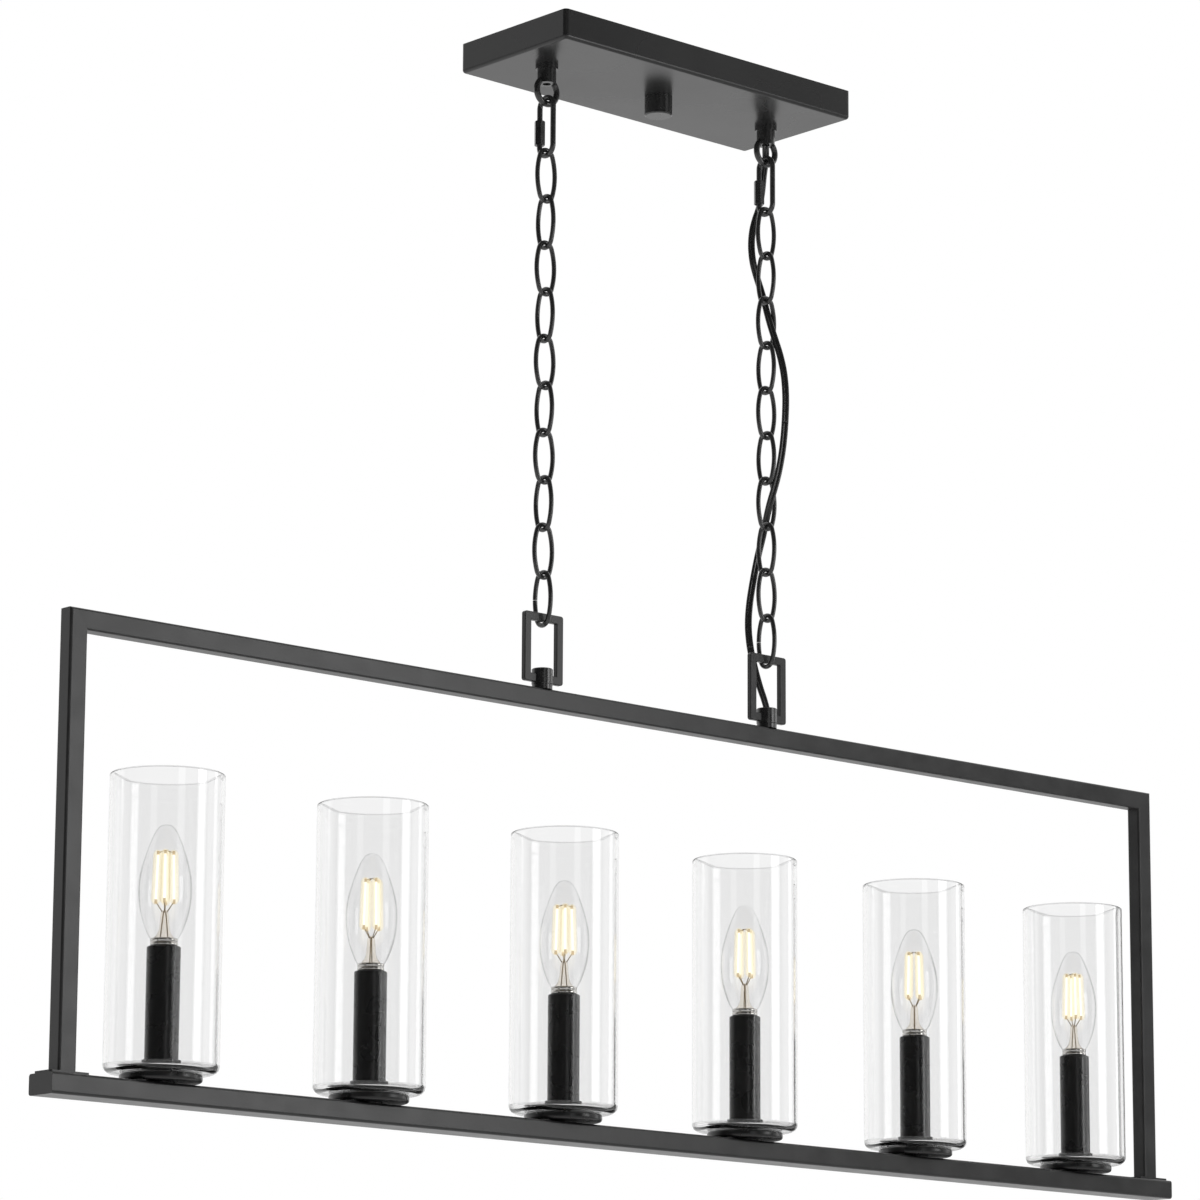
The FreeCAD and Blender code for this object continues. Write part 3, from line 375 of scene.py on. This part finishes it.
# ---- supply cord ---------------------------------------------------------------------------------
# Route points as offsets from the right chain in x and y, and height, in millimetres
CORD_ROUTE = (
    (0.0, 0.0, -36.3), (0.5, 0.6, -39.3), (3.2, 3.3, -43.8), (5.5, 6.3, -50.0), (5.7, 7.9, -57.1),
    (6.3, 9.7, -65.5), (6.0, 10.9, -74.0), (3.8, 11.9, -83.0), (0.2, 12.2, -92.0), (-2.2, 12.6, -102.0),
    (-2.9, 12.9, -113.0), (-1.6, 12.7, -125.0), (1.9, 12.0, -136.0), (4.1, 9.8, -146.0), (4.6, 6.8, -155.0),
    (4.2, 3.7, -163.5), (3.6, 0.5, -171.5), (3.8, -2.6, -180.0), (5.2, -5.6, -190.0), (7.2, -8.2, -201.0),
    (9.0, -10.2, -214.5), (9.8, -11.0, -230.5), (9.5, -10.7, -247.0), (8.7, -9.9, -263.0),
    (7.4, -8.6, -277.5), (5.9, -6.5, -290.5), (4.3, -4.0, -301.5), (3.1, -1.0, -311.0), (3.1, 2.1, -319.5),
    (3.7, 5.3, -328.0), (4.0, 8.5, -337.0), (3.0, 11.2, -347.0), (1.0, 12.7, -359.0), (-1.8, 13.3, -373.0),
    (-4.8, 13.4, -388.0), (-6.6, 12.9, -403.0), (-6.8, 11.2, -417.5), (-6.2, 8.3, -431.0),
    (-4.9, 5.6, -442.5), (-3.0, 3.4, -452.5), (-1.0, 1.2, -461.0), (0.0, 0.0, -467.2),
)
CORD_LOBE, CORD_LOBE_OFFSET = 0.00130, 0.00135     # radius of one core's skin, and its place off the middle
# Turn of the broad side away from facing the photograph: height in millimetres, degrees
CORD_TWIST = ((-467, 35), (-440, 10), (-400, -10), (-320, 15), (-240, -5), (-160, 15), (-100, -10),
              (-78, -42), (-58, -48), (-48, -42), (-36, 0))
CORD_SPANS = (  # name, lowest z, the two bodies it bends between, z where the bend starts and ends
    ("supply_cord_top", -0.071, "ceiling", "right_link", -0.037, -0.069),
    ("supply_cord_upper", -0.250, "right_link", "right_chain", -0.073, -0.108),
    ("supply_cord_lower", -0.421, "right_chain", "right_end_link", -0.378, -0.419),
    ("supply_cord_bottom", -0.500, "right_end_link", "frame", -0.423, -0.460),
)


def cord_line():
    """Points along the cord's NURBS spline, whose control points are the route."""
    data = bpy.data.curves.new("cord_route", "CURVE")
    data.dimensions = "3D"
    data.resolution_u = 12
    spline = data.splines.new("NURBS")
    spline.points.add(len(CORD_ROUTE) - 1)
    for point, (dx, dy, z) in zip(spline.points, CORD_ROUTE):
        point.co = (HANG_X + mm(dx), mm(dy), mm(z), 1.0)
    spline.order_u = 3
    spline.use_endpoint_u = True
    guide = bpy.data.objects.new("cord_route", data)
    scene.collection.objects.link(guide)
    bpy.context.view_layer.update()
    line = bpy.data.meshes.new_from_object(guide.evaluated_get(bpy.context.evaluated_depsgraph_get()))
    points = np.array([tuple(v.co) for v in line.vertices])
    bpy.data.objects.remove(guide)
    bpy.data.curves.remove(data)
    bpy.data.meshes.remove(line)
    return points


def twin_section(steps=12):
    """Outline of two round cores side by side with a groove between them."""
    a = np.radians(np.linspace(-155, 155, steps))
    lobe = np.column_stack([CORD_LOBE_OFFSET + CORD_LOBE * np.cos(a), CORD_LOBE * np.sin(a)])
    return np.vstack([lobe, -lobe])


def make_cord():
    """The cord in four stretches, cut at the lowest heights given in CORD_SPANS."""
    line = cord_line()
    section = twin_section()
    columns = len(section)
    right = view_axes()[0]
    heights, degrees = zip(*CORD_TWIST)
    turn = np.interp(line[:, 2], mm(heights), np.radians(degrees))
    wide = np.column_stack([right.x * np.cos(turn) - right.y * np.sin(turn),
                            right.x * np.sin(turn) + right.y * np.cos(turn), 0 * turn])
    whole = sweep(line, section, wide)
    start = 0
    for name, lowest, upper_body, lower_body, bend_top, bend_end in CORD_SPANS:
        inside = np.nonzero(line[:, 2] >= lowest)[0]
        end = inside[-1] + (1 if inside[-1] + 1 < len(line) else 0)
        part = line[start:end + 1]
        tube = whole[start * columns:(end + 1) * columns]
        rows = len(part)
        faces = grid_faces(rows, columns)
        faces.append(tuple(range(columns))[::-1])
        faces.append(tuple((rows - 1) * columns + j for j in range(columns)))
        piece = mesh_object(name, tube, faces)
        place(piece, None, cord_skin, "supply_cord")
        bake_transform(piece)
        start = end


make_cord()


# ---- glass shades --------------------------------------------------------------------------------
# Radii, and heights above the underside of the bar
GLASS_R, GLASS_IN, GLASS_LOW, GLASS_FLOOR, GLASS_TOP, GLASS_HOLE = mm([38.1, 35.6, 20.6, 23.7, 217.8, 10.4])
GLASS_HEEL, GLASS_INNER_HEEL, GLASS_RIM = mm([5.5, 3.0, 1.15])
FLOOR_RING_IN, FLOOR_RING_OUT = mm([4.0, 8.0])     # from the hole and from the heels to the floor's own rows


def shade_profile():
    """Wall section of the shade: flat bottom, rounded heel, straight wall, fire-rounded rim."""
    heel, inner_heel, rim = GLASS_HEEL, GLASS_INNER_HEEL, GLASS_RIM
    ring = GLASS_HOLE + FLOOR_RING_IN
    wall = np.linspace(GLASS_LOW + heel, GLASS_TOP - rim, 24)[1:-1]
    return np.vstack([
        [[GLASS_HOLE, GLASS_LOW], [ring, GLASS_LOW], [GLASS_R - heel - FLOOR_RING_OUT, GLASS_LOW]],
        arc((GLASS_R - heel, GLASS_LOW + heel), heel, -90, 0, 12),
        np.column_stack([GLASS_R + 0 * wall, wall]),
        arc((GLASS_R - rim, GLASS_TOP - rim), rim, 0, 90, 7),
        arc((GLASS_IN + rim, GLASS_TOP - rim), rim, 90, 180, 7),
        np.column_stack([GLASS_IN + 0 * wall, wall])[::-1],
        arc((GLASS_IN - inner_heel, GLASS_FLOOR + inner_heel), inner_heel, 0, -90, 9),
        [[GLASS_IN - inner_heel - FLOOR_RING_OUT, GLASS_FLOOR], [ring, GLASS_FLOOR],
         [GLASS_HOLE, GLASS_FLOOR]],
    ])


def make_shades():
    """Six glass cylinders, each with a floor that has a hole in the middle."""
    points, faces = lathe(shade_profile(), turns=144, closed=True)
    for number, x in enumerate(LIGHT_XS, 1):
        piece = mesh_object("clear_shade_%d" % number, move(points, x), faces)
        merge_close(piece)
        place(piece, "frame", shade_glass, "glass_shade_%d" % number)


make_shades()


# ---- bulbs ---------------------------------------------------------------------------------------
# Profile rows and places are a radius and a height above the underside of the bar, in millimetres
BULB_ROWS = mm([
    (9.3, 108.9), (11.4, 112.6), (14.1, 119.4), (16.0, 126.4), (17.1, 133.3), (17.5, 140.3), (17.2, 147.3),
    (16.1, 154.2), (14.3, 161.2), (12.0, 168.2), (9.4, 175.2), (6.9, 180.3), (3.9, 183.6), (0.0, 184.7),
])
BASE_ROWS = mm([
    (0.0, 83.7), (1.6, 83.8), (2.4, 84.3), (2.4, 85.7), (4.2, 86.3), (5.4, 86.9), (5.9, 88.1), (5.5, 89.3),
    (5.9, 90.5), (5.5, 91.7), (5.9, 92.9), (5.5, 94.1), (5.9, 95.3), (5.5, 96.5), (5.9, 97.7), (5.9, 103.1),
    (6.6, 103.7), (8.8, 104.0), (9.2, 104.5), (9.2, 106.1), (8.9, 106.4), (8.9, 106.8), (9.2, 107.1),
    (9.2, 108.5), (8.9, 108.9), (0.0, 108.9),
])
STEM_ROWS = mm([(7.6, 109.0), (6.2, 110.1), (4.4, 112.5), (3.4, 115.7), (2.9, 120.7), (2.6, 124.7),
                (2.2, 126.9), (1.2, 127.9), (0.0, 128.1)])
BULB_WALL = 0.0005
FILAMENT_COUNT = 4
FILAMENT_LOW_R, FILAMENT_LOW_Z, FILAMENT_HIGH_R, FILAMENT_HIGH_Z = mm([6.0, 134.4, 5.1, 165.0])
CORE_RADIUS, CORE_END, HALO_RADIUS, HALO_END = mm([0.85, 0.8, 3.4, 3.0])
LEAD_FOOT, LEAD_HEAD = mm([(3.4, 0, 109.0), (0.9, 0, 127.2)])
LEAD_RADIUS, SUPPORT_RADIUS, TIP_RADIUS = mm([0.4, 0.35, 0.95])
ROOT_R, ROOT_Z, HUB_R, HUB_Z = mm([1.6, 126.7, 0.6, 167.3])     # where the supports leave the stem and meet
SUPPORT_RISE, FOOT_TIP, HEAD_TIP, TIP_LAP = mm([[0, 0, 0.7], [0, 0, 2.2], [0, 0, 1.8], [0, 0, 0.6]])
BULB_TURNS = (4, 38, 10, 36, 40, 14)     # degrees by which each bulb is screwed in


def rod_points(start, end, radius, sides, rounded=0.0):
    """Closed round bar from start to end; rounded draws its ends in like a capsule's."""
    ahead = (end - start) / np.linalg.norm(end - start)
    stations = [(-rounded, 0.0), (-rounded * 0.8, 0.6 * radius), (0.0, radius)]
    stations = stations if rounded else [(0.0, 0.0), (0.0, radius)]
    length = np.linalg.norm(end - start)
    rows = stations + [(length - a, r) for a, r in stations[::-1]]
    guide = np.array([0.0, 0.0, 1.0]) if abs(ahead[2]) < 0.9 else np.array([1.0, 0.0, 0.0])
    u = np.cross(ahead, guide)
    u /= np.linalg.norm(u)
    v = np.cross(ahead, u)
    t = np.linspace(0, 2 * math.pi, sides, endpoint=False)
    ring = np.cos(t)[:, None] * u + np.sin(t)[:, None] * v
    points = np.vstack([start + ahead * a + ring * r for a, r in rows])
    return points, grid_faces(len(rows), sides)


def joined(shapes):
    """One set of points and faces from several."""
    points, faces, count = [], [], 0
    for p, f in shapes:
        points.append(p)
        faces += [tuple(i + count for i in face) for face in f]
        count += len(p)
    return np.vstack(points), faces


def envelope_shape():
    """Outer and inner skins of the bulb, joined at the neck and at the tip."""
    outer = smooth_rows(BULB_ROWS, 5)
    outer[:, 0] = np.maximum(outer[:, 0], 0.0)
    slope = np.gradient(outer, axis=0)
    slope /= np.linalg.norm(slope, axis=1)[:, None]
    inner = outer + BULB_WALL * np.column_stack([-slope[:, 1], slope[:, 0]])
    inner[0, 1] = outer[0, 1]
    inner[:, 0] = np.maximum(inner[:, 0], 0.0)
    inner[-1] = (0.0, outer[-1, 1] - BULB_WALL)
    return lathe(np.vstack([inner[::-1], outer]), turns=72)


def filament_places():
    """Outward direction, foot and head of each filament about the bulb's own axis."""
    for k in range(FILAMENT_COUNT):
        angle = 2 * math.pi * (k + 0.5) / FILAMENT_COUNT
        way = np.array([math.cos(angle), math.sin(angle), 0.0])
        foot = way * FILAMENT_LOW_R + np.array([0, 0, FILAMENT_LOW_Z])
        head = way * FILAMENT_HIGH_R + np.array([0, 0, FILAMENT_HIGH_Z])
        yield way, foot, head


def turned(points, degrees):
    """Points turned about the bulb's own axis."""
    c, s = math.cos(math.radians(degrees)), math.sin(math.radians(degrees))
    return np.asarray(points) @ np.array([[c, s, 0.0], [-s, c, 0.0], [0.0, 0.0, 1.0]])


def make_bulbs():
    """Six bulbs, each an envelope on its cap with the stem, filaments, glow, wires and tips inside."""
    envelope = envelope_shape()
    base = lathe(BASE_ROWS, turns=72)
    stem = lathe(smooth_rows(STEM_ROWS, 3), turns=32)
    cores, glows, tips = [], [], []
    wires = []
    for side in (-1, 1):
        across = np.array([side, 1, 1])
        wires.append(rod_points(across * LEAD_FOOT, across * LEAD_HEAD, LEAD_RADIUS, 8))
    for way, foot, head in filament_places():
        cores.append(rod_points(foot, head, CORE_RADIUS, 12, CORE_END))
        glows.append(rod_points(foot, head, HALO_RADIUS, 24, HALO_END))
        root = way * ROOT_R + np.array([0, 0, ROOT_Z])
        hub = way * HUB_R + np.array([0, 0, HUB_Z])
        wires.append(rod_points(root, foot - SUPPORT_RISE, SUPPORT_RADIUS, 8))
        wires.append(rod_points(head + SUPPORT_RISE, hub, SUPPORT_RADIUS, 8))
        tips.append(rod_points(foot - FOOT_TIP, foot + TIP_LAP, TIP_RADIUS, 12))
        tips.append(rod_points(head - TIP_LAP, head + HEAD_TIP, TIP_RADIUS, 12))
    parts = (("bulb_envelope", envelope, bulb_glass, "bulb_glass"),
             ("bulb_cap", base, nickel, "bulb_base_metal"),
             ("bulb_stem", stem, stem_glass, "bulb_base_metal"),
             ("filament", joined(cores), filament_core, "bulb_base_metal"),
             ("filament_halo", joined(glows), filament_glow, "bulb_base_metal"),
             ("filament_wires", joined(wires), support_wire, "bulb_base_metal"),
             ("filament_tips", joined(tips), filament_tip, "bulb_base_metal"))
    for number, (x, degrees) in enumerate(zip(LIGHT_XS, BULB_TURNS), 1):
        for name, (points, faces), material, slot in parts:
            piece = mesh_object("%s_%d" % (name, number), move(turned(points, degrees), x), faces)
            merge_close(piece)
            node = ("bulb_%d" if name == "bulb_envelope" else "bulb_base_%d") % number
            place(piece, "bulb_%d" % number, material, node)


make_bulbs()


# ---- finishes of the CAD nodes -------------------------------------------------------------------
FINISHES = {
    canopy_finish: ["canopy_shell"],
    powder: ["top_rail", "left_post", "right_post", "post_feet", "foot_screws", "bottom_bar", "bar_end_caps",
             "hanger_loops"],
    turned_black: ["canopy_knob", "canopy_loops", "screw_collars", "hanger_collars", "collar_bases",
                   "retaining_rings", "quick_link_nut_left", "quick_link_nut_right"],
    chain_finish: ["quick_link_left", "quick_link_right", "chain_left", "chain_right", "chain_end_link_left",
                   "chain_end_link_right"],
    # shade_pans and pan_necks: painted shade, the darker sleeve black in place of their shadow
    sleeve_black_and_pan_shade: ["candle_sleeves", "shade_pans", "pan_necks"],
    zinc: ["mounting_crossbar", "loop_washers", "hanger_nuts", "stem_nuts"],
    brass: ["canopy_nipple", "nipple_lock_nut", "loop_lock_nuts", "stem_nipples"],
    ground_green: ["ground_screw"],
    lead_skin: ["supply_leads", "wiring_harness"],
    connector_skin: ["wire_connectors"],
    phenolic: ["lamp_sockets"],
}
for material, names in FINISHES.items():
    for name in names:
        finish_node(name, material)


# ---- floor, light and background -----------------------------------------------------------------
FLOOR_Z, FLOOR_HALF = -2.2, 24.0
FLOOR_AWAY = (-0.3, 0.95, 0.0)
# Levels of the floor's painted glow, as seen in reflections, against the distance in metres along FLOOR_AWAY
FLOOR_LEVELS = ((-1.0, 0.06), (1.0, 0.45), (3.0, 0.87), (4.3, 0.68), (6.7, 0.32), (11.0, 0.2))
FLOOR_SEEN = 0.75     # level of the floor where it is seen directly
# Levels of the background in reflections against the cosine of the angle from the photograph's view
WORLD_LEVELS = ((-0.6, 0.03), (-0.05, 0.10), (0.22, 0.84), (0.5, 0.86), (0.9, 1.0))


def floor_material():
    """Pale matt floor with a painted glow that stands in for studio light; its mirror image is brighter
    behind the lamp than in front.
    """
    material, tree, output = new_material("pale_floor_painted_glow")
    patches = spread(tree, noise(tree, 1.5), 0.68, 0.74)
    colour = add(tree, "ShaderNodeCombineColor", {"Red": patches, "Green": patches, "Blue": patches})
    matt = add(tree, "ShaderNodeBsdfDiffuse", {"Color": colour.outputs["Color"]})
    spot = add(tree, "ShaderNodeTexCoord").outputs["Object"]
    along = add(tree, "ShaderNodeVectorMath", {0: spot, 1: FLOOR_AWAY}, operation="DOT_PRODUCT")
    level = curve(tree, along.outputs["Value"], -2.0, 12.0, FLOOR_LEVELS)
    seen = add(tree, "ShaderNodeLightPath").outputs["Is Camera Ray"]
    strength = add(tree, "ShaderNodeMix", {0: seen, 2: level, 3: FLOOR_SEEN})
    # Painted light: the floor glows, at a level set by place along FLOOR_AWAY in reflections and at
    # FLOOR_SEEN where seen directly
    lit = add(tree, "ShaderNodeEmission", {"Color": colour.outputs["Color"], "Strength": strength.outputs[0]})
    both = add(tree, "ShaderNodeAddShader", {0: matt.outputs[0], 1: lit.outputs[0]})
    tree.links.new(both.outputs[0], output.inputs["Surface"])
    return material


def make_floor():
    """Pale matt floor well under the lamp."""
    points = [(x * FLOOR_HALF, y * FLOOR_HALF, FLOOR_Z) for x, y in ((-1, -1), (1, -1), (1, 1), (-1, 1))]
    floor = mesh_object("floor", points, [(0, 1, 2, 3)], smooth=False)
    floor.data.materials.append(floor_material())


def make_light(name, spot, aim, size, radiance, mirrored=True):
    """Rectangular soft light at a spot: power = pi * radiance * width * height.

    With mirrored off it lights the lamp but isn't seen in reflections or through glass.
    """
    data = bpy.data.lights.new(name, "AREA")
    data.shape, data.size, data.size_y = "RECTANGLE", size[0], size[1]
    data.energy = math.pi * radiance * size[0] * size[1]
    light = bpy.data.objects.new(name, data)
    scene.collection.objects.link(light)
    light.visible_glossy = light.visible_transmission = mirrored
    light.location = spot
    light.rotation_euler = (Vector(aim) - Vector(spot)).to_track_quat("-Z", "Y").to_euler()


def make_world():
    """White background; in reflections it is bright behind the lamp and darker to the sides and front."""
    world = bpy.data.worlds.new("studio")
    scene.world = world
    world.use_nodes = True
    tree = world.node_tree
    tree.nodes.clear()
    forward = view_axes()[2]
    way = add(tree, "ShaderNodeTexCoord").outputs["Generated"]
    ahead = add(tree, "ShaderNodeVectorMath", {0: way, 1: tuple(forward)}, operation="DOT_PRODUCT")
    level = curve(tree, ahead.outputs["Value"], -1.0, 1.0, WORLD_LEVELS)
    seen = add(tree, "ShaderNodeLightPath").outputs["Is Camera Ray"]
    strength = add(tree, "ShaderNodeMix", {0: seen, 2: level, 3: 1.0})
    back = add(tree, "ShaderNodeBackground", {"Color": (1, 1, 1, 1), "Strength": strength.outputs[0]})
    tree.links.new(back.outputs[0], add(tree, "ShaderNodeOutputWorld").inputs["Surface"])


make_floor()
make_world()
make_light("key", (-1.4, -3.0, 0.9), (0.0, 0.0, -0.5), (2.0, 2.0), 4.5, mirrored=False)
make_light("front_box", (-0.9, -3.2, -0.5), (0.0, 0.0, -0.6), (0.8, 1.9), 0.9)
make_light("right_box", (1.30, -2.27, -0.25), (0.0, 0.0, -0.6), (0.95, 1.2), 3.3)
make_light("edge_strip", (2.4, -0.6, -0.6), (0.0, 0.0, -0.6), (0.3, 2.0), 1.5)
scene.view_settings.view_transform = "Standard"
